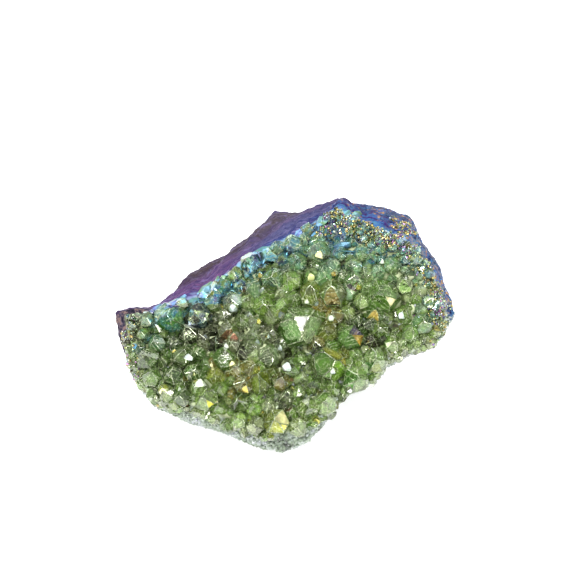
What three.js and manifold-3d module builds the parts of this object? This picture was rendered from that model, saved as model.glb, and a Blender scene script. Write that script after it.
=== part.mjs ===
// An aura amethyst druse: a broken piece of geode wall with a crust of quartz crystals on its tilted face.
// Millimetres, +Z up. The origin lies under the middle of the specimen's box, in the flat break it rests on.
import * as THREE from "three";
import { ConvexGeometry } from "three/addons/geometries/ConvexGeometry.js";
import { mergeVertices } from "three/addons/utils/BufferGeometryUtils.js";
import Module from "manifold-3d";

// The bed is the face of the rock that the crystals grew on. It climbs towards the back, +Y.
const bedHeight = 20.5; // at the middle of the outlines' own frame
const bedRise = 0.36; // per millimetre of y
const bedCant = 0.03; // per millimetre of x
const bedSwell = 0.8;
const bedMiddle = [-1, -1];

// Outlines of the rock, seen from above and taken clockwise from the left corner. Each rib of the rock runs
// from its point on the rim, where the crystals end, over the brow, its widest point, and under to the foot.
const ribs = [
  { rim: [-38.5, 1.5], brow: [-41, 5, 17.5] },
  { rim: [-33, 2], brow: [-33.5, 7, 16.5] },
  { rim: [-27.5, 4], brow: [-28, 12, 16] },
  { rim: [-23, 5.5], brow: [-24, 18.5, 15.5] },
  { rim: [-18, 8], brow: [-19, 22, 15.5] },
  { rim: [-12, 12.5], brow: [-12.5, 26.5, 17] },
  { rim: [-7.5, 15.5], brow: [-7.5, 31, 18.5] },
  { rim: [-3, 18], brow: [-3, 35, 19.5] },
  { rim: [3, 21.5], brow: [3, 32.5, 23] },
  { rim: [8, 24.5], brow: [8, 32.5, 25.5] },
  { rim: [12.5, 26.5], brow: [13.5, 32.5, 27.5] },
  { rim: [18, 23], brow: [18.5, 33.5, 24.5] },
  { rim: [23, 20.5], brow: [24.5, 33.5, 23] },
  { rim: [27.5, 18.5], brow: [30.5, 31, 22.5] },
  { rim: [31, 15.5], brow: [32.5, 23.5, 22.5] },
  { rim: [34, 11], brow: [36.5, 15, 22] },
  { rim: [36, 6], brow: [38.5, 8, 19.5] },
  { rim: [36.5, 1], brow: [40, 3, 18] },
  { rim: [33.5, -2.5], brow: [36.5, -3, 17.5] },
  { rim: [27, -6], brow: [27.5, -7, 16.5] },
  { rim: [21.5, -9.5], brow: [22.5, -9.5, 15.5] },
  { rim: [18, -14], brow: [19, -13.5, 14] },
  { rim: [12, -15.5], brow: [13, -16, 12.5] },
  { rim: [10.5, -19.5], brow: [11.5, -18, 12] },
  { rim: [6.5, -23], brow: [7.5, -21.5, 9.5] },
  { rim: [2.5, -25.5], brow: [5.5, -25, 7.5] },
  { rim: [-3, -26], brow: [-1, -27, 5.5] },
  { rim: [-8, -25], brow: [-6.5, -25.5, 6] },
  { rim: [-19.5, -20.5], brow: [-19.5, -20.5, 8] },
  { rim: [-29.5, -16.5], brow: [-30.5, -16, 9] },
  { rim: [-33, -13], brow: [-35, -12.5, 10.5] },
  { rim: [-36, -8], brow: [-38, -6, 11.5] },
  { rim: [-37.5, -3.5], brow: [-40.5, -0.5, 12] },
];
const boxMiddle = [-0.7, 4.4]; // the outlines' middle, which the origin is moved to
const footShare = 0.8; // the foot's outline as a share of the brow's
const undercutShare = 0.24; // how much smaller that share is on the side that the crystals overhang
const undercutTowards = [0.87, -0.5];
const footMiddle = [-1, 4.5];
const stepsPerRib = 2;
const browSteps = 4; // rings between the rim and the brow
const footSteps = 4; // rings between the brow and the foot
const bedSteps = [0.6]; // rings on the bed, as shares of the way from its middle to the rim
const backBulge = 0.1; // how far the broken back stands above a straight line, as a share of its length
const wallBulge = 1.6; // between the brow and the foot
const lumpDepth = 0.9;
const lumpSize = 4.2;
const ledgeDepth = 0.35;
const ledgePitch = 2.6;
const ledgeWander = 9; // size of the lumps that bend the ledges

// The crust: intergrown quartz a little over a millimetre thick, and the crystals that stand up from it.
const seatGap = 0.3; // between the crust and the rock, so that the two solids never touch
const quartzSkin = 1.4;
const skinEdge = 0.55; // the skin's thickness at the rim, as a share
const rootDepth = 2; // how far each crystal runs down below the bed's surface before it is cut back
const faceSlope = THREE.MathUtils.degToRad(51.8); // quartz's end faces, from the plane across the crystal
const prismShare = 0.35; // height of the six side faces above the bed, as a share of the radius
const heightSpread = [0.85, 1.12];
const sideSpread = [0.84, 1];
const largeFaces = [0.97, 1.03]; // how far out three of the end faces stand, as shares of their regular place
const smallFaces = [1.03, 1.22]; // and the three between them
const splay = 22; // degrees that a crystal at the rim leans outwards
const splayReach = 7; // distance from the rim over which that lean fades
const scatter = 15; // degrees that any crystal leans at random
const crowding = 0.78; // least distance between two crystals, as a share of the sum of their radii
const edgeRoom = 0.35; // least distance from the rim, as a share of the radius
const fillTries = 2600;
const fillRadius = 2.4;
const fillSpread = [0.75, 1.25];
const fillBox = { x: [-39, 37], y: [-27, 27] };
const smallest = 0.55; // share of fillRadius that crystals keep where the crust is fine
const fineEdge = { reach: 33, slope: 0.75, fade: 9 }; // the crust is fine beyond the line slope * x + y = reach
const fineCorner = { x: -37, fade: 6 }; // and to the left of this x

// The crystals that stand out from the rest: x, y, radius and turn in degrees, and for one also its lean along
// x and y, as shares of what scatter allows.
const leaders = [
  [2.8, -2.1, 5.2, 93, 0.35, -0.1], [10.5, 5.1, 3.4, 30], [22.5, 5, 4.2, 20], [20.7, 0.8, 2.4, 0],
  [8.8, -10.8, 4.2, 75], [15.2, -14.3, 3.2, 50], [20, -10, 3.1, 35], [14.8, -4.8, 2.9, 40],
  [8.5, -19.5, 2.9, 0], [-2.5, -23.5, 3, 25], [-6.6, -14.7, 3.1, 0], [-5.5, 3, 2.9, 40],
  [10, 11.5, 2.8, 5], [15.5, 8.8, 2.6, 45], [5.5, 5.5, 3.1, 20], [-28, 0.6, 3.7, 10],
  [-21, 1, 3.1, 30], [-23.2, -3.4, 2.4, 55], [-32.5, -8.5, 3, 15], [-26.5, -12.5, 2.7, 0],
  [-31.5, -12.5, 2.4, 20], [-20.5, -15.5, 2.1, 40], [-18.5, -18.5, 2.8, 5], [-10.8, -19.2, 2.5, 30],
  [-0.4, -17.7, 2.2, 15], [4.5, -20, 2.6, 50], [24.2, -6.2, 2.2, 25], [-8, 7.5, 2.6, 10],
  [-14, -2, 2.8, 20], [-15, -9.5, 2.6, 45], [-13, 4.5, 2.4, 0], [31.5, -1.5, 2.6, 35],
];

const lerp = THREE.MathUtils.lerp;
const clamp01 = (v) => THREE.MathUtils.clamp(v, 0, 1);

// A repeatable stream of numbers from 0 to 1.
function numbers(seed) {
  let state = seed;
  return () => (state = (state * 16807) % 2147483647) / 2147483647;
}

// A smooth unevenness from -1 to 1, with lumps about two sizes across.
function lumps(x, y, z, size) {
  const [a, b, c] = [x / size, y / size, z / size];
  return (
    Math.sin(1.7 * a + 1.3 * Math.sin(1.1 * b + 0.5)) *
    Math.sin(1.9 * b + 1.1 * Math.sin(1.3 * c + 2.1)) *
    Math.cos(1.6 * c + 1.2 * Math.sin(0.9 * a + 4.0))
  );
}

function bedZ(x, y) {
  return bedHeight + bedRise * y + bedCant * x + bedSwell * Math.sin(x / 6.5 + 0.6) * Math.sin(y / 5.5 + 1.1);
}

// The ribs with the steps between them, all the way round.
function ribsAround() {
  const around = [];
  ribs.forEach((rib, i) => {
    const next = ribs[(i + 1) % ribs.length];
    for (let k = 0; k < stepsPerRib; k++) {
      const t = k / stepsPerRib;
      const rim = rib.rim.map((v, n) => lerp(v, next.rim[n], t));
      const brow = rib.brow.map((v, n) => lerp(v, next.brow[n], t));
      around.push({ rim: new THREE.Vector3(rim[0], rim[1], bedZ(...rim)), brow: new THREE.Vector3(...brow) });
    }
  });
  return around;
}

// How much the wall below a point of the brow draws in, from 0 to 1 on the overhung side.
function undercutAt(brow) {
  const out = new THREE.Vector2(brow.x - footMiddle[0], brow.y - footMiddle[1]).normalize();
  return Math.max(0, out.dot(new THREE.Vector2(...undercutTowards))) ** 2;
}

// One rib's points, from the rim over the brow to the foot.
function ribPoints({ rim, brow }) {
  const points = [rim.clone()];
  const reach = rim.distanceTo(brow);
  for (let k = 1; k <= browSteps; k++) {
    const t = k / browSteps;
    const p = new THREE.Vector3().lerpVectors(rim, brow, t);
    p.z += backBulge * reach * Math.sin(Math.PI * t);
    points.push(p);
  }
  const undercut = undercutAt(brow);
  const share = footShare - undercutShare * undercut;
  const foot = new THREE.Vector3(lerp(footMiddle[0], brow.x, share), lerp(footMiddle[1], brow.y, share), 0);
  const outward = new THREE.Vector3().subVectors(brow, foot).setZ(0).normalize();
  for (let k = 1; k <= footSteps; k++) {
    const t = k / footSteps;
    const p = new THREE.Vector3().lerpVectors(brow, foot, t);
    points.push(p.addScaledVector(outward, wallBulge * (1 - undercut) * Math.sin(Math.PI * t)));
  }
  return points;
}

// The rock as one closed mesh of rings. grow moves its surface outwards.
function rockGeometry(grow = 0) {
  const columns = ribsAround();
  const rings = bedSteps
    .toReversed()
    .map((t) =>
      columns.map(({ rim }) => {
        const [x, y] = [lerp(bedMiddle[0], rim.x, t), lerp(bedMiddle[1], rim.y, t)];
        return new THREE.Vector3(x, y, bedZ(x, y));
      }),
    );
  const sides = columns.map(ribPoints);
  sides[0].forEach((_, k) => rings.push(sides.map((side) => side[k])));

  const around = columns.length;
  const points = rings.flat();
  const top = points.push(new THREE.Vector3(...bedMiddle, bedZ(...bedMiddle))) - 1;
  const bottom = points.push(new THREE.Vector3(...footMiddle, 0)) - 1;
  const index = [];
  for (let j = 0; j < around; j++) {
    const k = (j + 1) % around;
    index.push(top, k, j);
    for (let r = 0; r + 1 < rings.length; r++) {
      const [a, b] = [r * around, (r + 1) * around];
      index.push(a + j, a + k, b + k, a + j, b + k, b + j);
    }
    const last = (rings.length - 1) * around;
    index.push(last + j, last + k, bottom);
  }
  const geometry = new THREE.BufferGeometry().setFromPoints(points).setIndex(index);
  roughen(geometry, bedSteps.length * around, around, grow);
  return geometry;
}

// Breaks up the rock's sides with lumps and with ledges along the layers. The bed and the foot stay smooth.
function roughen(geometry, firstSide, around, grow) {
  geometry.computeVertexNormals();
  const [position, normal] = [geometry.attributes.position, geometry.attributes.normal];
  const lastFoot = position.count - 2 - around;
  for (let i = 0; i < position.count; i++) {
    const [x, y, z] = [position.getX(i), position.getY(i), position.getZ(i)];
    const isSide = i >= firstSide + around && i < lastFoot;
    const layer = (bedZ(x, y) - z) / ledgePitch;
    const ledge = ledgeDepth * Math.sin(2 * Math.PI * layer + lumps(x, y, z, ledgeWander));
    const lump = lumpDepth * (lumps(x, y, z, lumpSize) + lumps(y, z, x, lumpSize / 2) / 2);
    const move = grow + (isSide ? lump + ledge : 0);
    position.setXYZ(
      i,
      x + move * normal.getX(i),
      y + move * normal.getY(i),
      z + move * normal.getZ(i),
    );
  }
}

// Distance from a point to the rim's outline, positive inside it.
function insideRim(x, y) {
  let nearest = Infinity;
  let inside = false;
  ribs.forEach(({ rim: [ax, ay] }, i) => {
    const [bx, by] = ribs[(i + 1) % ribs.length].rim;
    const along = clamp01(((x - ax) * (bx - ax) + (y - ay) * (by - ay)) / ((bx - ax) ** 2 + (by - ay) ** 2));
    nearest = Math.min(nearest, Math.hypot(x - lerp(ax, bx, along), y - lerp(ay, by, along)));
    if (ay > y !== by > y && x < ax + ((y - ay) / (by - ay)) * (bx - ax)) inside = !inside;
  });
  return inside ? nearest : -nearest;
}

// How coarse the crystals are at a place, from 0 in the fine-grained corners to 1.
function coarseness(x, y) {
  const upperRight = clamp01((fineEdge.reach - fineEdge.slope * x - y) / fineEdge.fade);
  const leftCorner = clamp01((x - fineCorner.x) / fineCorner.fade);
  return Math.min(upperRight, leftCorner);
}

// Every crystal's place, radius and turn: the leaders, and as many as fit in the room they leave.
function placeCrystals() {
  const next = numbers(4711);
  const placed = leaders.map(([x, y, radius, turn, ...sway]) => ({ x, y, radius, turn, sway }));
  for (let i = 0; i < fillTries; i++) {
    const [x, y] = [lerp(...fillBox.x, next()), lerp(...fillBox.y, next())];
    const radius = fillRadius * lerp(smallest, 1, coarseness(x, y)) * lerp(...fillSpread, next());
    const turn = 60 * next();
    const clear = placed.every((c) => Math.hypot(c.x - x, c.y - y) > crowding * (c.radius + radius));
    if (clear && insideRim(x, y) > edgeRoom * radius) placed.push({ x, y, radius, turn, sway: [] });
  }
  return placed;
}

// The corner points of the solid that a set of planes bounds. A plane is [normal, distance].
function corners(planes) {
  const found = [];
  const p = new THREE.Vector3();
  const m = new THREE.Matrix3();
  for (let i = 0; i < planes.length; i++)
    for (let j = i + 1; j < planes.length; j++)
      for (let k = j + 1; k < planes.length; k++) {
        const [a, b, c] = [planes[i], planes[j], planes[k]];
        m.set(...a[0].toArray(), ...b[0].toArray(), ...c[0].toArray());
        if (Math.abs(m.determinant()) < 1e-6) continue;
        p.set(a[1], b[1], c[1]).applyMatrix3(m.invert());
        const isCorner = planes.every(([n, d]) => n.dot(p) < d + 1e-6);
        if (isCorner && found.every((q) => q.distanceTo(p) > 1e-3)) found.push(p.clone());
      }
  return found;
}

// A quartz crystal along +Z: six sides, and an end of three large and three small faces.
function crystalCorners(radius, next) {
  const height = radius * (prismShare + Math.tan(faceSlope)) * lerp(...heightSpread, next());
  const planes = [[new THREE.Vector3(0, 0, -1), rootDepth]];
  const endTilt = Math.PI / 2 - faceSlope;
  for (let i = 0; i < 6; i++) {
    const angle = (i * Math.PI) / 3;
    const out = new THREE.Vector3(Math.cos(angle), Math.sin(angle), 0);
    planes.push([out, radius * lerp(...sideSpread, next())]);
    const end = out.clone().multiplyScalar(Math.cos(endTilt)).setZ(Math.sin(endTilt));
    const setBack = lerp(...(i % 2 ? smallFaces : largeFaces), next());
    planes.push([end, height * Math.sin(endTilt) * setBack]);
  }
  return corners(planes);
}

// Where a crystal at x, y points: off the bed, outwards near the rim, and a little at random or by its sway.
function crystalAxis(x, y, sway, next) {
  const bedNormal = new THREE.Vector3(-bedCant, -bedRise, 1).normalize();
  const outward = new THREE.Vector3(x - bedMiddle[0], y - bedMiddle[1], 0).normalize();
  const nearRim = 1 - clamp01(insideRim(x, y) / splayReach);
  const lean = Math.tan(THREE.MathUtils.degToRad(splay * nearRim * lerp(0.6, 1, next())));
  const stray = Math.tan(THREE.MathUtils.degToRad(scatter));
  const drawn = [lerp(-1, 1, next()), lerp(-1, 1, next())];
  const [alongX, alongY] = sway.length ? sway : drawn;
  return bedNormal
    .addScaledVector(outward, lean)
    .add(new THREE.Vector3(stray * alongX, stray * alongY, 0))
    .normalize();
}

function crystalGeometry({ x, y, radius, turn, sway }, next) {
  const points = crystalCorners(radius, next);
  const axis = crystalAxis(x, y, sway, next);
  const stand = new THREE.Quaternion().setFromUnitVectors(new THREE.Vector3(0, 0, 1), axis);
  const spin = new THREE.Quaternion().setFromAxisAngle(
    new THREE.Vector3(0, 0, 1),
    THREE.MathUtils.degToRad(turn),
  );
  const place = new THREE.Vector3(x, y, bedZ(x, y));
  return new ConvexGeometry(points.map((p) => p.applyQuaternion(spin).applyQuaternion(stand).add(place)));
}

// The intergrown quartz that joins the crystals: a sheet over the bed, out to the rim.
function skinGeometry() {
  const outline = ribs.map(({ rim: [x, y] }) => new THREE.Vector2(x, y));
  const around = outline.length;
  const levels = [-rootDepth / 2, quartzSkin]; // its underside is then cut away with the rock
  const points = levels.flatMap((level) =>
    [1, ...bedSteps].flatMap((t) =>
      outline.map(({ x, y }) => {
        const [px, py] = [lerp(bedMiddle[0], x, t), lerp(bedMiddle[1], y, t)];
        const share = t === 1 && level > 0 ? skinEdge : 1;
        return new THREE.Vector3(px, py, bedZ(px, py) + level * share);
      }),
    ),
  );
  const under = points.push(new THREE.Vector3(...bedMiddle, bedZ(...bedMiddle) + levels[0])) - 1;
  const over = points.push(new THREE.Vector3(...bedMiddle, bedZ(...bedMiddle) + levels[1])) - 1;
  const rings = 1 + bedSteps.length;
  const upper = rings * around;
  const index = [];
  for (let j = 0; j < around; j++) {
    const k = (j + 1) % around;
    index.push(j, upper + k, k, j, upper + j, upper + k);
    for (let r = 0; r + 1 < rings; r++) {
      const [a, b] = [r * around, (r + 1) * around];
      index.push(a + j, a + k, b + k, a + j, b + k, b + j);
      index.push(upper + a + j, upper + b + k, upper + a + k, upper + a + j, upper + b + j, upper + b + k);
    }
    const last = (rings - 1) * around;
    index.push(last + j, last + k, under);
    index.push(upper + last + j, over, upper + last + k);
  }
  return new THREE.BufferGeometry().setFromPoints(points).setIndex(index);
}

const wasm = await Module();
wasm.setup();

function solid(geometry) {
  const bare = geometry.clone();
  bare.deleteAttribute("normal");
  bare.deleteAttribute("uv");
  const merged = mergeVertices(bare, 1e-4);
  const vertProperties = merged.attributes.position.array;
  return new wasm.Manifold(
    new wasm.Mesh({ numProp: 3, vertProperties, triVerts: new Uint32Array(merged.index.array) }),
  );
}

function geometryOf(manifold) {
  const { vertProperties, triVerts } = manifold.getMesh();
  return new THREE.BufferGeometry()
    .setAttribute("position", new THREE.BufferAttribute(vertProperties, 3))
    .setIndex(new THREE.BufferAttribute(triVerts, 1));
}

// The crystals and their skin in one solid, cut to lie just clear of the rock.
function crust() {
  const next = numbers(977);
  const crystals = placeCrystals().map((c) => solid(crystalGeometry(c, next)));
  const grown = wasm.Manifold.union([solid(skinGeometry()), ...crystals]);
  const pieces = grown.subtract(solid(rockGeometry(seatGap))).decompose();
  return pieces.sort((a, b) => b.volume() - a.volume())[0];
}

const rockMaterial = new THREE.MeshStandardMaterial({ color: 0x66618f, roughness: 0.45, metalness: 0.5 });
const crystalMaterial = new THREE.MeshStandardMaterial({ color: 0x6f9a4a, roughness: 0.08, metalness: 0.1 });

const rock = new THREE.Mesh(rockGeometry(), rockMaterial);
rock.name = "matrix_rock";
const crystals = new THREE.Mesh(geometryOf(crust()), crystalMaterial);
crystals.name = "crystal_crust";

const druse = new THREE.Group();
druse.add(rock, crystals);
druse.position.set(-boxMiddle[0], -boxMiddle[1], 0);

export default druse;
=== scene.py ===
"""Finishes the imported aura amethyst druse: its rock, its quartz crystals, its fine druse and the stage."""

import itertools
import math
import random

import bmesh
import bpy
import numpy as np
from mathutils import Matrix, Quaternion, Vector
from mathutils.bvhtree import BVHTree


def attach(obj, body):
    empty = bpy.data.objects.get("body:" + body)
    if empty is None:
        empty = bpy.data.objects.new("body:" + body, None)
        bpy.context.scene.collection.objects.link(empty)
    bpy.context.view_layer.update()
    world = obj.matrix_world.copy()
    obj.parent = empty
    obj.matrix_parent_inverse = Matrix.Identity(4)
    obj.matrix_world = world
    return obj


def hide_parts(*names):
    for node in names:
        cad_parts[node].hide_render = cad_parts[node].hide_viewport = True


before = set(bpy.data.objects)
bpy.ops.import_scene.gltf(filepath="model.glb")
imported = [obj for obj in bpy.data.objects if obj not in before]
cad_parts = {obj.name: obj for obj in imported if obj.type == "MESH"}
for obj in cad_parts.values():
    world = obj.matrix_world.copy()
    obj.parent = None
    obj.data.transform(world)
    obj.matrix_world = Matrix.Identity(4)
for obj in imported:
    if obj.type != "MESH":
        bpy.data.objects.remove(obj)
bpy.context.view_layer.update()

bl_info = {
    "name": "Aura amethyst druse",
    "version": (1, 0, 0),
    "blender": (4, 5, 0),
    "location": "View3D > Sidebar > Druse",
    "description": "Builds the finished rock, crystals and fine druse around the packed model",
    "category": "Object",
}

MM = 0.001
TINY = 1e-6

# Outlines and the crystals' places are in millimetres, in the frame that the part's source draws them in.
BOX_MIDDLE = Vector((-0.7, 4.4, 0))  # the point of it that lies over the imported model's origin
BED_HEIGHT = 20.5
BED_RISE, BED_CANT = 0.36, 0.03  # how much the bed climbs along y and along x
BED_SWELL = 0.8
BED_MIDDLE = (-1, -1)
BED_NORMAL = Vector((-BED_CANT, -BED_RISE, 1)).normalized()
BED_STEP = 0.6  # share of the way from the bed's middle to the rim where the quartz skin bends
RIM = [
    (-38.5, 1.5), (-33, 2), (-27.5, 4), (-23, 5.5), (-18, 8), (-12, 12.5), (-7.5, 15.5), (-3, 18),
    (3, 21.5), (8, 24.5), (12.5, 26.5), (18, 23), (23, 20.5), (27.5, 18.5), (31, 15.5), (34, 11), (36, 6),
    (36.5, 1), (33.5, -2.5), (27, -6), (21.5, -9.5), (18, -14), (12, -15.5), (10.5, -19.5), (6.5, -23),
    (2.5, -25.5), (-3, -26), (-8, -25), (-19.5, -20.5), (-29.5, -16.5), (-33, -13), (-36, -8),
    (-37.5, -3.5),
]
RIDGE_START, RIDGE_END = (-33, 2), (12.5, 26.5)
RIDGE_ALONG = (Vector((*RIDGE_END, 0)) - Vector((*RIDGE_START, 0))).normalized()

# Crystals: x, y, radius and turn in degrees, and for one also its lean along x and y.
LEADERS = [
    (2.8, -2.1, 5.2, 93, 0.35, -0.1), (10.5, 5.1, 3.4, 30), (22.5, 5, 4.2, 20), (20.7, 0.8, 2.4, 0),
    (8.8, -10.8, 4.2, 75), (15.2, -14.3, 3.2, 50), (20, -10, 3.1, 35), (14.8, -4.8, 2.9, 40),
    (8.5, -19.5, 2.9, 0), (-2.5, -23.5, 3, 25), (-6.6, -14.7, 3.1, 0), (-5.5, 3, 2.9, 40),
    (10, 11.5, 2.8, 5), (15.5, 8.8, 2.6, 45), (5.5, 5.5, 3.1, 20), (-28, 0.6, 3.7, 10), (-21, 1, 3.1, 30),
    (-23.2, -3.4, 2.4, 55), (-32.5, -8.5, 3, 15), (-26.5, -12.5, 2.7, 0), (-31.5, -12.5, 2.4, 20),
    (-20.5, -15.5, 2.1, 40), (-18.5, -18.5, 2.8, 5), (-10.8, -19.2, 2.5, 30), (-0.4, -17.7, 2.2, 15),
    (4.5, -20, 2.6, 50), (24.2, -6.2, 2.2, 25), (-8, 7.5, 2.6, 10), (-14, -2, 2.8, 20),
    (-15, -9.5, 2.6, 45), (-13, 4.5, 2.4, 0), (31.5, -1.5, 2.6, 35),
]
PLACE_SEED, SHAPE_SEED = 4711, 977
FILL_TRIES = 2600
FILL_RADIUS = 2.4
FILL_SPREAD = (0.75, 1.25)
FILL_BOX = ((-39, 37), (-27, 27))
SMALLEST = 0.55
FINE_REACH, FINE_SLOPE, FINE_FADE = 33, 0.75, 9  # where the crystals get finer towards the upper right
CORNER_X, CORNER_FADE = -37, 6  # and towards the left corner
CROWDING = 0.78
EDGE_ROOM = 0.35
INFILL_PASSES = [(3000, 1.9, 2.6), (4000, 1.2, 1.8), (4000, 0.7, 1.0)]  # tries, smallest and largest radius
INFILL_SMALLEST = 0.5
INFILL_CROWDING = (0.82, 0.3)
INFILL_SINK = 0.3  # share of its radius that an infill crystal sits lower than a main one
INFILL_EDGE_ROOM = 0.5
FACE_SLOPE = math.radians(51.8)
PRISM_SHARE = 0.35
HEIGHT_SPREAD = (0.85, 1.12)
SIDE_SPREAD = (0.84, 1)
LARGE_FACES, SMALL_FACES = (0.97, 1.03), (1.03, 1.22)
UNEVEN = 0.16  # how much nearer or further a small crystal's end facets stand
SPLAY, SPLAY_LEAST = 22, 0.6  # degrees that crystals lean outwards at the rim, and the least share of them
SPLAY_REACH = 7  # how far from the rim they start to
SCATTER = 15  # degrees that crystals lean any way
SAME_POINT = 1e-3
ROOT_DEPTH = 2
QUARTZ_SKIN = -0.6
SKIN_AURA = 0.02
TRIMS = {(0, 8): 1.3}  # crystal and plane: how much further out the plane stands
TIP_CUTS = {0: (272, math.radians(8), 1.45)}  # crystal: heading, slope and depth of a facet that cuts its tip
GLINT_FACET = 10  # number of the plane of a crystal's facet that faces the front
GLINT_LEAN = (0.1, 0.1)
GLINT_RISE = 0.4  # how far a glint stands out of the crystal that it grew on, as a share of its radius
WIDEST_BEVEL = 2  # times the width set for a crystal of medium size
PATCH_EDGE = (0.7, 1.2)  # how raggedly a patch of colour ends, as shares of its reach
# Below BLUE_SHARE a facet takes a painted blue sheen; above WHITE_FROM a painted white glint, above GOLD_FROM
# a painted gold one.
BLUE_SHARE, GOLD_FROM, WHITE_FROM = 0.4, 0.98, 0.96  # rolls of 0 to 1 that give a facet an odd colour
SMOKY_TINT, SMOKY_AURA = 0.25, 0.45  # crystals darker than this are this metallic
PEARLY = 0.45  # facets with a larger pearly share take no blue film
LINE_PITCH = (0.5, 1.3)  # distance between the growth lines of a facet
# The front wall runs from a point of its own to this one of the rim, and on. The depths are how far down
# crystals grow on each stretch of the rim after that.
WALL_POINT, WALL_FIRST = (36, -0.5), 18
WALL_DEPTHS = (4, 4, 4, 3, 3, 2, 1, 0, 1, 1, 2.5, 3, 3, 2)
WALL_RUNS = [(WALL_POINT, RIM[WALL_FIRST], 4)]
WALL_RUNS += [(*RIM[i : i + 2], deep) for i, deep in enumerate(WALL_DEPTHS, WALL_FIRST) if deep]
WALL_START, WALL_STEP = 0.8, 1.6  # depth of the first row, and distance between crystals and between rows
WALL_RADIUS = (0.9, 1.8)
WALL_SINK = 0.5
WALL_LIFT, WALL_SWAY = 0.8, 0.3  # how much its crystals point off the bed and at random
WALL_AIM, WALL_RAY = 12, 30  # how far outside the rim the search for the wall starts, and how far it goes
ROCK_BAND = 10  # width of the band of rock outside the rim that the colours follow

# Colours are red, green and blue from 0 to 255. In a crystal's palette, how often it comes up follows.
FRESH = [(164, 194, 108, 5), (146, 182, 96, 4), (186, 204, 140, 4), (178, 182, 82, 2), (194, 206, 160, 2)]
SMOKY = [(158, 164, 146, 3), (114, 114, 98, 3), (70, 68, 66, 2), (140, 166, 100, 2)]
OLIVE = [(160, 138, 74, 3), (150, 154, 70, 3), (186, 156, 74, 1), (140, 170, 80, 2)]
DEEP = [(106, 142, 76, 3), (84, 108, 68, 2), (132, 160, 88, 3)]
TEAL = [(178, 212, 152, 3), (164, 206, 166, 2), (196, 220, 168, 3)]
# Dark crystals: smoky quartz, and a painted shade in the darkest gaps between the larger crystals.
DARK = [(46, 42, 36, 3), (76, 66, 50, 2), (88, 92, 88, 1)]
# x, y and reach of a patch, and its crystals' colours
PATCHES = [
    (-36.5, -1.5, 3.5, DARK), (-1.5, -8.3, 2.2, DARK), (20.5, -5.5, 2, DARK), (-22, -1, 2.6, DARK),
    (-18.6, -4, 2.2, DARK), (-18, -0.5, 6.5, SMOKY), (-12, -3.5, 5.5, SMOKY), (-1.5, -7.5, 3.5, SMOKY),
    (-6, -3, 4, SMOKY), (26, -4.5, 3, SMOKY), (-1, -19, 3, SMOKY), (-13, -13.5, 5, OLIVE),
    (-3.5, -12, 4.5, OLIVE), (10.5, 4, 3.5, OLIVE), (6, -4, 3, OLIVE), (-29, -5, 8, DEEP),
    (-22, -11, 6, DEEP), (-9, 1, 4, DEEP), (17, -1, 4, DEEP), (14, 14, 7, TEAL), (24, 11, 7, TEAL),
    (4, 15, 6, TEAL),
]
# Blues of the film's painted sheen on facets near the ridge.
SKY_BLUES = [
    (96, 160, 204), (92, 158, 166), (104, 122, 190), (110, 178, 180), (140, 186, 206), (96, 150, 120),
    (66, 74, 92),
]
# Colours of painted highlights: gold and white glints, pale edges, and the flashes and glints below.
GOLDS = [(232, 214, 130), (200, 168, 78), (240, 232, 200), (190, 140, 120), (150, 128, 168)]
PAINTED_EDGE_HIGHLIGHT = (196, 206, 176)
WHITE, SILVER = (248, 250, 252), (204, 212, 226)
GOLD, PALE_GOLD = (240, 206, 112), (252, 240, 190)
# Facets that catch the eye, by crystal and plane: colour, aura and pearl.
# The white, silver, gold, pink and violet ones are painted highlights; the green, olive and brown ones are
# facet colours.
FLASHES = {
    0: {
        13: (236, 232, 244, 0.1, 0.9), 6: (76, 114, 46, 0.5, 0.4), 10: (186, 204, 164, 0.4, 0.35),
        4: (114, 144, 84, 0.4, 0.3), 12: (116, 146, 88, 0.4, 0.3), 2: (120, 150, 92, 0.4, 0.3),
    },
    1: {10: (116, 94, 58, 0.85, 0.3)}, 2: {12: (*PALE_GOLD, 0.3, 0.8)}, 3: {10: (*GOLD, 0.5, 0.6)},
    4: {
        2: (150, 150, 56, 0, 0.4), 4: (118, 154, 60, 0.4, 0.3), 6: (88, 128, 46, 0.45, 0.35),
        8: (90, 132, 44, 0.45, 0.3), 10: (128, 168, 60, 0, 0.45), 12: (164, 152, 50, 0, 0.45),
    },
    5: {6: (94, 140, 66, 0.4, 0.3), 8: (104, 170, 70, 0, 0.4)},
    6: {8: (92, 138, 84, 0.4, 0.3), 10: (150, 160, 84, 0, 0.4)},
    7: {2: (150, 124, 190, 0.7, 0.3), 12: (222, 178, 70, 0.7, 0.3)},
    9: {2: (*PALE_GOLD, 0.4, 0.7), 12: (222, 204, 96, 0.6, 0.4), 10: (172, 170, 54, 0.5, 0.3)},
    10: {6: (150, 156, 52, 0.4, 0.3), 8: (214, 176, 70, 0.5, 0.3), 10: (144, 158, 60, 0.4, 0.3)},
    16: {
        2: (60, 66, 80, 0.6, 0.5), 4: (50, 54, 64, 0.6, 0.5), 8: (54, 56, 62, 0.6, 0.5),
        12: (26, 28, 36, 1, 1),
    },
    17: {2: (*WHITE, 0.5, 0.6)}, 21: {2: (196, 200, 196, 0.4, 0.5), 4: (206, 196, 110, 0.5, 0.4)},
    22: {12: (206, 196, 60, 0.5, 0.4)}, 26: {8: (250, 248, 226, 0.2, 0.8)},
    28: {10: (216, 150, 134, 0.6, 0.3)}, 30: {2: (*SILVER, 0.4, 0.5)}, 85: {10: (40, 52, 28, 1, 1)},
    119: {10: (32, 52, 62, 1, 1)},
}
# Finishes of painted highlights on the glints' front facets: colour, aura and pearl.
BRIGHT = (*WHITE, 0.1, 0.8)
PALE = (*SILVER, 0.5, 0.6)
GLEAM = (*PALE_GOLD, 0.3, 0.8)
BLUSH = (222, 152, 138, 0.6, 0.5)
AMBER = (*GOLD, 0.5, 0.6)
OLIVE_GLEAM = (196, 186, 76, 0.5, 0.4)
STEEL = (72, 132, 186, 0.6, 0.2)
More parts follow.
